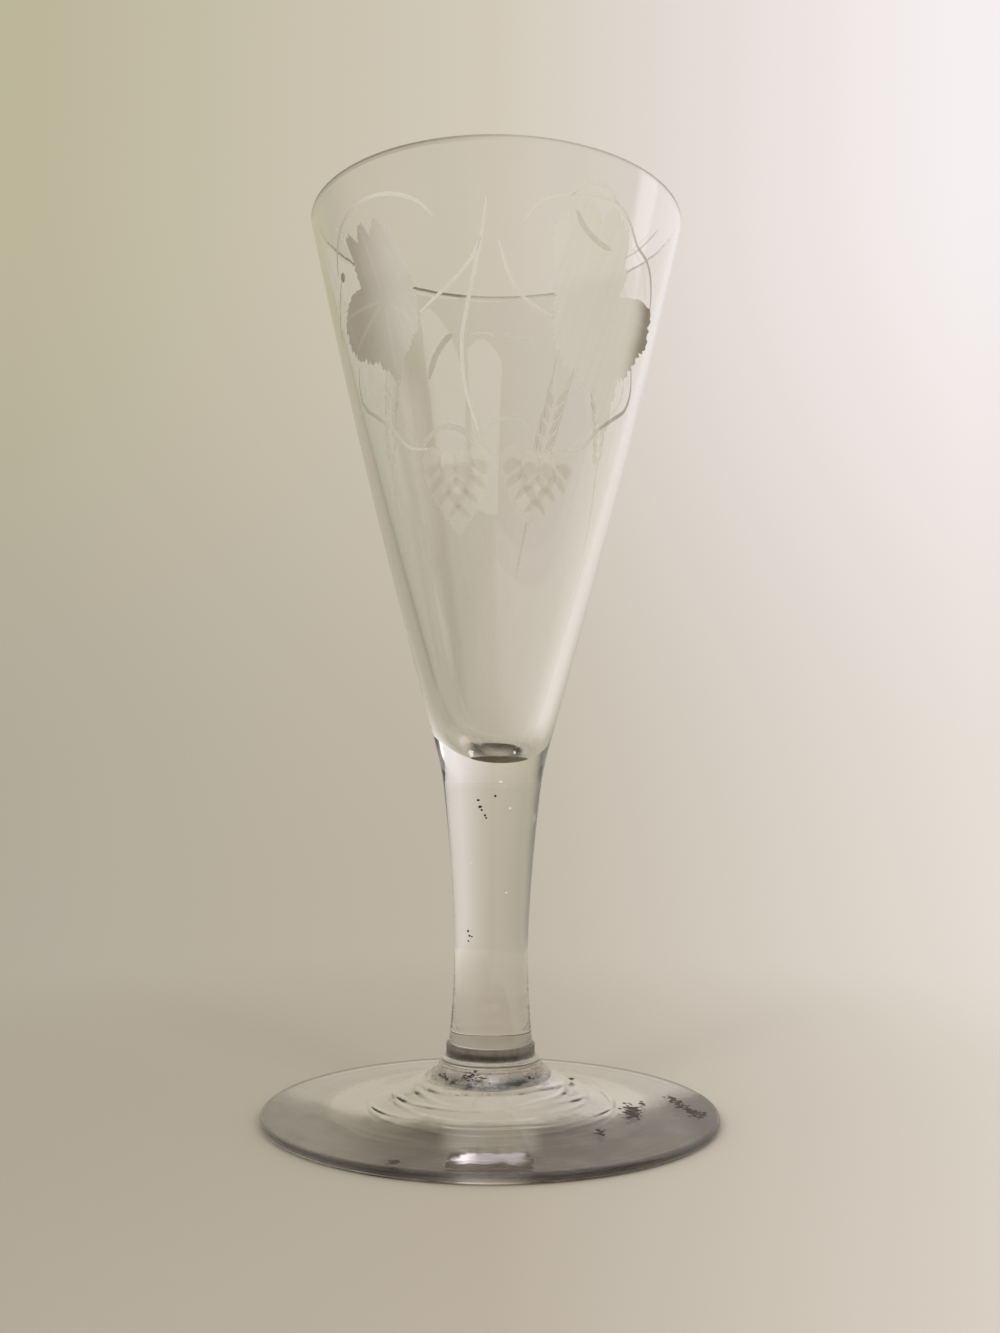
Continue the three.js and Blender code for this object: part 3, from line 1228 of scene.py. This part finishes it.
def stroke_uv(mesh, across, along, lean=0.0):
    """Writes the UV map of the wheel's strokes from the flat plate: how wide and how long they are, and
    how many degrees they lean."""
    layer = mesh.loops.layers.uv.new("strokes")
    turned = Matrix.Rotation(math.radians(lean), 2)
    for face in mesh.faces:
        for loop in face.loops:
            x, y = turned @ loop.vert.co.xy
            loop[layer].uv = (x / across, y / along)


def eased(value, low, high):
    """Eases from 0 at low to 1 at high."""
    share = min(1.0, max(0.0, (value - low) / (high - low)))
    return share * share * (3 - 2 * share)


def write_cut_shade(mesh, shade=0.0, side_shade=0.6):
    """Writes the painted shade of a wrapped plate: its own shade, or more at the sides of the front."""
    layer = mesh.verts.layers.float.new("cut_shade")
    for vert in mesh.verts:
        degrees = abs(math.degrees(math.atan2(vert.co.x, -vert.co.y)))
        side = eased(degrees, side_start, side_end) if degrees < 90 else 0.0
        vert[layer] = max(shade, side_shade * side)


def join_meshes(meshes):
    """One bmesh from several, which are freed."""
    joined = bmesh.new()
    for mesh in meshes:
        part = bpy.data.meshes.new("part")
        mesh.to_mesh(part)
        mesh.free()
        joined.from_mesh(part)
        bpy.data.meshes.remove(part)
    return joined


def engraved(name, meshes, cut=front_cut):
    """A piece of the pattern, from the wrapped plates that belong together."""
    return finish_piece(name, join_meshes(meshes), [cut, joint_material])


print("cuts darken from", side_start, "to", side_end, "degrees round from the front")

# %% [markdown]
# A hop leaf has a few pointed lobes and a toothed edge. Its outline is a list of directions and reaches,
# chosen after the photograph and eased from one to the next, and a saw wave takes small bites out of it.
# A flat round sheet is stretched to that outline. The cut is deepest in the middle of each lobe, and a vein
# is left standing along it. Each leaf gets painted shade towards the side of the bowl that it lies on.

# %% Leaves
leaf_spokes = 360
leaf_rings = 14
leaf_teeth = 58
tooth_depth = 0.07
tooth_change = 0.03
tooth_drift = 0.3
tooth_steepness = 6
vein_width = 0.25 * MM
vein_start = 3 * MM
leaf_stroke = 60 * MM


def leaf_reach(angle, outline):
    """How far the leaf reaches in a direction in degrees, eased from one outline point to the next."""
    first_angle, first_reach = outline[0]
    at = angle if angle >= first_angle else angle + 360
    for (start, near), (end, far) in zip(outline, outline[1:] + [(first_angle + 360, first_reach)]):
        if start <= at <= end:
            return near + (far - near) * eased(at, start, end)


def direction_of(vert):
    """The direction of a point from the middle of its leaf, in degrees."""
    return math.degrees(math.atan2(vert.co.y, vert.co.x)) % 360


def make_leaf(degrees, height, outline, veins, shade, stroke_lean):
    """A toothed leaf as a wrapped plate. The outline is (direction in degrees, reach in millimetres), and
    shade(across, share) says how much painted shade it gets."""
    mesh = polar_sheet(leaf_rings, leaf_spokes)
    share = mesh.verts.layers.float["share"]
    for vert in mesh.verts:
        angle = direction_of(vert)
        tooth = (angle * leaf_teeth / 360 + tooth_drift * math.sin(angle / 7)) % 1.0
        depth = tooth_depth + tooth_change * math.sin(angle / 3)
        bite = depth * (1 - tooth) * vert[share] ** tooth_steepness
        reach = vert[share] * leaf_reach(angle, outline) * MM * (1 - bite)
        vert.co = (math.cos(math.radians(angle)) * reach, math.sin(math.radians(angle)) * reach, 0)

    def groove(vert):
        """How deep in a vein a point lies, from 0 to 1."""
        deepest = 0.0
        for vein in veins:
            away = math.radians((direction_of(vert) - vein + 180) % 360 - 180)
            if abs(away) < math.pi / 2:
                off = vert.co.xy.length * math.sin(away)
                deepest = max(deepest, math.exp(-(off / vein_width) ** 2))
        return deepest * eased(vert.co.xy.length, 0, vein_start) * (1 - vert[share] ** 4)

    thicken(mesh, lambda vert: 0.6 - 0.3 * groove(vert) + 0.2 * (1 - vert[share]))
    # Painted shade: darker towards the side of the bowl that the leaf lies on, a little less in the veins.
    cut_shade = mesh.verts.layers.float.new("cut_shade")
    share = mesh.verts.layers.float["share"]
    for vert in mesh.verts:
        vert[cut_shade] = shade(vert.co.x / MM, vert[share]) * (1 - 0.2 * groove(vert))
    stroke_uv(mesh, leaf_stroke, leaf_stroke, stroke_lean)
    wrap(mesh, degrees, height * MM)
    return mesh


left_outline = [
    (18, 5.6), (49, 7.0), (70, 9.0), (84, 10.8), (91, 11.6), (97, 10.2), (106, 12.4), (113, 10.6),
    (121, 13.4), (131, 8.6), (148, 5.8), (162, 8.2), (176, 10.2), (190, 11.6), (213, 11.2), (231, 9.8),
    (246, 9.2), (262, 10.0), (271, 12.2), (281, 9.2), (305, 7.6), (349, 5.9),
]
right_outline = [
    (11, 14.2), (38, 4.6), (61, 8.4), (77, 13.2), (90, 14.6), (99, 13.0), (107, 15.4), (117, 15.0),
    (135, 14.4), (145, 11.0), (160, 8.8), (180, 8.0), (205, 8.6), (228, 9.6), (253, 10.2), (274, 12.0),
    (287, 18.5), (294, 13.4), (304, 11.2), (336, 11.6), (357, 14.2),
]
engraved("engraved_leaf_left", [make_leaf(
    -39.4, 119.9, left_outline, veins=(40, 106, 180, 212, 271, 320),
    shade=lambda across, share: 0.2 + 0.56 * eased(-across, -4, 7), stroke_lean=-20,
)])
engraved("engraved_leaf_right", [make_leaf(
    37.1, 118.5, right_outline, veins=(5, 88, 116, 160, 228, 287, 332),
    shade=lambda across, share: 0.95 * eased(across, 6, 12) * eased(share, 0.3, 0.9), stroke_lean=12,
)])

# %% [markdown]
# Stalks and tendrils are single strokes of a narrow wheel, so each is a ribbon along a smooth line
# through a few points on the bowl. The stroke starts and ends where the wheel touched and left, so the
# ribbon tapers at both ends. Ribbons lie a little further out than the leaves that they cross.

# %% Ribbons
stroke = 0.55 * MM
hair = 0.28 * MM
ribbon_taper_share = 0.2
ribbon_tip_share = 0.35
fine_stroke = 3 * MM


def smooth_line(points, steps):
    """Points on a smooth line through the given ones, each (degrees, millimetres)."""
    padded = [points[0]] + list(points) + [points[-1]]
    line = []
    for index in range(1, len(padded) - 2):
        before, start, end, after = padded[index - 1:index + 3]
        for step in range(steps):
            t = step / steps
            line.append(tuple(
                0.5 * (
                    2 * start[axis] + (end[axis] - before[axis]) * t
                    + (2 * before[axis] - 5 * start[axis] + 4 * end[axis] - after[axis]) * t * t
                    + (3 * start[axis] - before[axis] - 3 * end[axis] + after[axis]) * t ** 3
                ) for axis in (0, 1)
            ))
    line.append(tuple(points[-1]))
    return line


def ribbon(points, width, shade=0.0, side_shade=0.6, steps=10):
    """A tapering ribbon along a line of (degrees, millimetres) points, as a wrapped plate."""
    line = smooth_line(points, steps)
    places = [Vector((math.radians(a) * cone_radius(h * MM), h * MM)) for a, h in line]
    mesh = bmesh.new()
    rows = []
    for index, place in enumerate(places):
        ahead = places[min(index + 1, len(places) - 1)] - places[max(index - 1, 0)]
        side = Vector((-ahead.y, ahead.x)).normalized()
        share = index / (len(places) - 1)
        end = min(1.0, min(share, 1 - share) / ribbon_taper_share)
        half = width / 2 * (ribbon_tip_share + (1 - ribbon_tip_share) * end)
        rows.append([mesh.verts.new((*(place + side * half * at), 0)) for at in (-1.0, 0.0, 1.0)])
    for row, following in zip(rows, rows[1:]):
        for column in (0, 1):
            mesh.faces.new((row[column], following[column], following[column + 1], row[column + 1]))
    middles = {row[1].co.copy().freeze() for row in rows}
    thicken(mesh, lambda vert: 1.0 if Vector((vert.co.x, vert.co.y, 0)).freeze() in middles else 0.3)
    stroke_uv(mesh, fine_stroke, fine_stroke)
    wrap(mesh, 0, 0, 2 * plate_gap)
    write_cut_shade(mesh, shade, side_shade)
    return mesh


def bud(degrees, height, radius):
    """A small round dab of the wheel."""
    mesh = polar_sheet(4, 24)
    for vert in mesh.verts:
        vert.co *= radius
    thicken(mesh, lambda vert: 1 - 0.5 * min(1.0, vert.co.xy.length / radius))
    stroke_uv(mesh, fine_stroke, fine_stroke)
    wrap(mesh, degrees, height * MM)
    write_cut_shade(mesh, side_shade=0.9)
    return mesh


print(f"a stroke is {stroke / MM:.2f} mm wide and a hair line {hair / MM:.2f} mm")

# %% [markdown]
# The lines themselves follow the photograph: a loop of tendril above and below each leaf, stalks in the
# middle that carry the cones, and a few hair lines. The points of each are given. The lower loop on the
# left is the mirror image of the one on the right.

# %% Stalks and tendrils
right_lower_loop = [
    (60, 112.4), (63.5, 109.4), (62, 106.6), (54, 104.4), (46, 102.2), (38, 99.0), (27, 98.2),
]
left_lower_loop = [(-degrees, height) for degrees, height in right_lower_loop]
left_upper_loop = [
    (-19, 129.6), (-25, 132.4), (-36, 134.2), (-48, 134.0), (-56, 132.0), (-61, 128.8), (-62.5, 126.4),
]
right_upper_loop = [
    (8, 128.6), (13, 131.4), (21, 132.8), (30, 133.6), (38, 133.4), (44, 131.6), (49, 129.2), (56, 127.9),
    (61, 125.8), (64.5, 122.8), (65, 119.6),
]
engraved("engraved_tendrils_left", [
    ribbon(left_upper_loop, stroke),
    bud(-59.5, 125.8, 0.7 * MM),
    ribbon([(-61, 125.4), (-66, 122.5), (-70, 119.5), (-71, 117.2)], stroke),
    ribbon([(-60, 134.0), (-56, 131.5), (-52.5, 128.5)], hair * 0.8, side_shade=0.25),
    ribbon(left_lower_loop, stroke),
    ribbon([(-15, 113.6), (-18, 112.6), (-22, 110.6), (-25, 107.8)], stroke * 1.6, shade=0.5),
])
engraved("engraved_tendrils_right", [
    ribbon(right_upper_loop, stroke),
    ribbon([(58.9, 133.3), (51, 129.2), (44, 126.6)], hair * 0.8, side_shade=0.25),
    ribbon([(24, 131.0), (27, 129.0), (33, 127.4), (38, 127.0)], stroke * 1.6),
    ribbon([(22, 132.8), (26, 134.8), (33, 135.2), (38, 133.4)], stroke),
    ribbon(right_lower_loop, stroke),
])
engraved("engraved_stalks", [
    ribbon([(-3, 131.5), (-5.0, 125.5), (-9.5, 117.2), (-11.8, 112.3), (-11, 106), (-6.5, 99.8)], stroke),
    ribbon([(-4.6, 126.5), (-8.1, 123.3), (-16, 120.0), (-26, 117.1)], stroke),
    ribbon([(0.5, 126.0), (4, 121.5), (9, 118.4), (20, 116.0)], stroke),
    ribbon([(-31, 98.4), (-28, 99.8), (-21, 101.0), (-14, 100.6), (-9, 98.8)], stroke * 1.5, shade=0.25),
    ribbon([(-8, 99.4), (0, 101.6), (9, 101.8), (16, 100.6), (22, 97.6)], stroke, shade=0.15),
    ribbon([(-9, 113.3), (-4, 113.5), (0.5, 112.9)], hair, shade=0.15),
    ribbon([(3.5, 113.4), (8, 112.9), (12, 112.8)], hair, shade=0.15),
])

# %% [markdown]
# Two cones of the hop hang side by side, each of rows of small pointed scales that lap over each other
# like tiles and narrow to a tip. A scale is a round sheet pulled to a point. So is a grain of barley,
# with a point at both ends, so one function makes both. A loop sets the scales in rows.

# %% Hop cones
scale_width = 3.2 * MM
scale_length = 4.4 * MM
scale_tilt = math.radians(16)
cone_rows = 5
scales_across_the_top = 4
top_row_rise = 0.9 * MM
strokes_across = 4 * MM
strokes_along = 12 * MM


def pointed_plate(mesh, degrees, height, half_width, half_length, tilt, narrow, relief):
    """A round sheet pulled to a point, as a wrapped plate. narrow(up) says how wide it is at a share of its
    half length, and relief is how far its middle stands out and how much less its edge does."""
    lean = Matrix.Rotation(tilt, 3, "Z")
    for vert in mesh.verts:
        width = half_width * narrow(vert.co.y)
        vert.co = lean @ Vector((vert.co.x * width, vert.co.y * half_length, 0))
    share = mesh.verts.layers.float["share"]
    thicken(mesh, lambda vert: relief[0] - relief[1] * vert[share])
    stroke_uv(mesh, strokes_across, strokes_along)
    wrap(mesh, degrees, height)
    write_cut_shade(mesh)
    return mesh


def make_scale(degrees, height, tilt):
    """One scale of a cone, wider above and pointed below."""
    return pointed_plate(
        polar_sheet(6, 36), degrees, height, scale_width / 2, scale_length / 2, tilt,
        narrow=lambda up: 1 - 0.75 * max(0.0, -up) ** 1.4, relief=(0.3, 0.08),
    )


def make_cone(degrees, top, bottom, half_width):
    """Rows of scales in a heart that narrows to its tip."""
    scales = []
    for row in range(cone_rows):
        share = row / (cone_rows - 1)
        height = top + (bottom - top) * share
        row_half = half_width * math.cos(share * math.pi / 2.25) ** 0.8
        count = max(1, round(scales_across_the_top * math.cos(share * math.pi / 2.1)))
        for index in range(count):
            at = 0 if count == 1 else index / (count - 1) * 2 - 1
            across = at * row_half * (count - 1) / count
            rise = top_row_rise * abs(at) * (1 - share)
            turned = math.degrees(across / cone_radius(height))
            scales.append(make_scale(degrees + turned, height + rise, scale_tilt * at))
    return scales


engraved("engraved_cone_left", make_cone(-17.0, 95.4 * MM, 88.0 * MM, 4.9 * MM), soft_cut)
engraved("engraved_cone_right", make_cone(19.0, 95.4 * MM, 88.8 * MM, 5.6 * MM), soft_cut)

# %% [markdown]
# On the far side stand ears of barley. Grains sit in pairs up each ear, and every grain carries a long fine
# awn, so through two walls of glass an ear shows as a patch of fine upright lines. An ear is drawn on a
# leaning line between two points, and one function makes them all.

# %% Barley
grain_half_width = 0.6 * MM
grain_half_length = 1.7 * MM
grain_lean = math.radians(20)
awn_lean = math.radians(7)
grain_pairs = 6
grain_offset = 1.1
awn_width = hair * 0.35
stalk_share = 1.4


def make_grain(degrees, height, tilt):
    """One grain, pointed at both ends."""
    return pointed_plate(
        polar_sheet(5, 28), degrees, height, grain_half_width, grain_half_length, tilt,
        narrow=lambda up: 1 - 0.55 * abs(up) ** 2, relief=(0.5, 0.3),
    )


def make_ear(foot, tip, awn):
    """An ear from its lowest grain to its highest, each (degrees, millimetres), with awns of a length in
    millimetres."""
    plates = []
    foot_at, tip_at = Vector(foot), Vector(tip)
    middle_radius = cone_radius((foot[1] + tip[1]) / 2 * MM) / MM
    run = math.radians(tip[0] - foot[0]) * middle_radius
    lean = math.atan2(-run, tip[1] - foot[1])
    degrees_per_millimetre = math.degrees(1 / middle_radius)
    for pair in range(grain_pairs):
        angle, height = foot_at.lerp(tip_at, pair / (grain_pairs - 1))
        for hand in (-1, 1):
            start = angle + hand * grain_offset * degrees_per_millimetre
            plates.append(make_grain(start, height * MM, lean - hand * grain_lean))
            reach = awn * random.uniform(0.8, 1.1)
            spread = -math.tan(lean - hand * awn_lean) * reach * degrees_per_millimetre
            middle = (start + spread * 0.5 + hand * 0.5, height + reach / 2)
            end = (start + spread, height + reach)
            plates.append(ribbon([(start, height + 1), middle, end], awn_width, shade=0.4, steps=6))
    stalk_foot = foot_at - (tip_at - foot_at) * stalk_share
    plates.append(ribbon([tuple(stalk_foot), tuple(foot_at.lerp(stalk_foot, 0.5)), foot], stroke * 0.8))
    return plates


random.seed(3)
engraved("engraved_barley_middle", make_ear((158, 104), (152.5, 118), awn=9.0), back_cut)
engraved("engraved_barley_right", make_ear((119, 104), (130, 117), awn=4.0), back_cut)
engraved("engraved_barley_left", make_ear((-119, 104), (-130, 117), awn=4.0), back_cut)

# %% [markdown]
# Dirt lies on the foot in a few smears, each of many small flat lumps along a short line. They lie on the
# glass, not in it. Two loose clusters on the right are the largest, and crumbs lie round the neck.

# %% Where the dirt lies
random.seed(7)


def smear(start, end, spread, size, count):
    """Places of small lumps that lie together along a line between two places, all in millimetres. Each
    place is x, y and height, with the radius of its lump."""
    places = []
    for index in range(count):
        middle = Vector(start).lerp(Vector(end), random.random())
        x, y = middle.x + random.gauss(0, spread), middle.y + random.gauss(0, spread * 1.6)
        radius = min(max(math.hypot(x, y) * MM, neck_radius), rise_end)
        places.append((x, y, foot_top(radius) / MM, random.uniform(0.5, 1.5) * size))
    return places


foot_smears = [
    ((20.5, -8.2), (21.5, -3.0), 0.6, 0.25, 90), ((22.9, -1.6), (23.3, 0.6), 0.2, 0.2, 14),
    ((28.1, 4.0), (28.9, 1.2), 0.45, 0.26, 60), ((29.2, -0.6), (30.4, -5.6), 0.5, 0.26, 85),
    ((30.7, -7.4), (31.6, -4.8), 0.3, 0.22, 26),
    ((15.0, -17.2), (16.0, -16.0), 0.3, 0.3, 9), ((-12.9, -29.4), (-12.0, -29.2), 0.3, 0.3, 9),
    ((-3.6, -7.6), (-0.2, -8.5), 0.3, 0.2, 40), ((-7.4, -4.8), (-6.1, -6.9), 0.15, 0.2, 12),
    ((5.2, -7.0), (6.6, -6.3), 0.15, 0.16, 10), ((12.0, 0.4), (12.6, 3.4), 0.25, 0.26, 16),
]
smear_places = [place for values in foot_smears for place in smear(*values)]
print("lumps of dirt:", len(smear_places))

# %% [markdown]
# Old metal is full of small faults. Black and brown specks of clay and scale hang in the stem, and here
# and there a seed, a tiny bubble of air. They sit inside the solid glass, so each is a small lump placed
# where the photograph shows it, a little nearer than the axis. The seeds glow faintly, a painted highlight
# for the light that a bubble mirrors from above. The three in front of the end of the hollow are painted
# glints there.

# %% Specks, dirt, seeds and painted glints
lump_unevenness = 0.35
lump_scale = 1.3
mottle_scale = 9000.0


def speck_material(name, dark, light, roughness, glow=0.0):
    """Mottled matt stuff. A glow is a painted highlight for the light that a bubble mirrors."""
    material, tree = new_material(name)
    principled(tree, {
        "Base Color": Place(tree).noise(mottle_scale, 2.0).blend(dark, light), "Metallic": 0.0,
        "Roughness": roughness, "Emission Color": light, "Emission Strength": glow,
    })
    return material


def lump(place, radius, stretch):
    """A small uneven lump, in metres."""
    mesh = bmesh.new()
    bmesh.ops.create_icosphere(mesh, subdivisions=2, radius=radius)
    for vert in mesh.verts:
        vert.co *= 1 + lump_unevenness * noise.noise(vert.co / radius * lump_scale + Vector(place) / MM)
        vert.co.x *= stretch[0]
        vert.co.z *= stretch[1]
        vert.co += Vector(place)
    return mesh


def scatter(name, places, material, flatness=1.0):
    """One piece of many lumps: each place is x, y and height in millimetres, and a radius."""
    lumps = []
    for x, y, z, radius in places:
        stretch = (random.uniform(0.8, 1.3), random.uniform(0.8, 1.4) * flatness)
        lumps.append(lump((x * MM, y * MM, z * MM), radius * MM, stretch))
    return finish_piece(name, join_meshes(lumps), [material])


clay_places = [
    (-1.7, -2.5, 47.6, 0.19), (-1.45, -2.4, 46.6, 0.22), (-1.25, -2.3, 46.1, 0.14),
    (0.35, -1.8, 48.3, 0.15), (-0.85, -2.2, 45.3, 0.17), (-0.7, -2.2, 44.9, 0.13),
    (-3.0, -2.4, 27.7, 0.14), (-2.8, -2.4, 27.0, 0.16), (-2.95, -2.4, 26.2, 0.14),
    (-2.5, -2.6, 26.9, 0.11),
]
# Seeds with a painted glow, and three lumps that are only painted glints.
seed_and_glint_places = [
    (0.95, -2.0, 50.5, 0.18), (2.1, -2.0, 46.4, 0.15), (1.6, -1.0, 33.5, 0.1), (-1.9, 1.5, 38.0, 0.1),
    (-3.0, -5.5, 54.8, 0.34), (-2.9, -5.5, 54.4, 0.28), (3.0, -5.5, 54.85, 0.18),
]
clay_material = speck_material("clay_speck", srgb(58, 42, 28), srgb(150, 112, 66), roughness=0.7)
seed_glint_material = speck_material(
    "air_seed_glint", srgb(225, 222, 214), srgb(250, 250, 248), roughness=0.15, glow=0.6,
)
dirt_material = speck_material("old_dirt", srgb(44, 40, 32), srgb(96, 86, 70), roughness=0.8)
scatter("clay_specks", clay_places, clay_material)
scatter("foot_smears", smear_places, dirt_material, flatness=0.12)
scatter("seeds_and_glints", seed_and_glint_places, seed_glint_material)

# %% [markdown]
# A little ale dried in the bottom of the hollow. It is a thin brown skin. Light that would be mirrored there
# by the glass meets the skin instead, so it shows as a dark oval. It is laid just inside the glass for that.

# %% Dried drink
drink_reach = 3.0 * MM
drink_gap = 0.03 * MM


def make_dried_drink():
    upper = [(radius, height - drink_gap) for radius, height in hollow_end() if radius < drink_reach]
    lower = [(radius, height - drink_gap) for radius, height in upper]
    mesh = turn(list(reversed(lower)) + upper)
    for vert in mesh.verts:
        lean_hollow(vert)
    return finish_piece("dried_drink", mesh, [drink_material])


drink_material = speck_material("dried_ale", srgb(98, 84, 64), srgb(172, 154, 128), roughness=0.6)
make_dried_drink()

# %% [markdown]
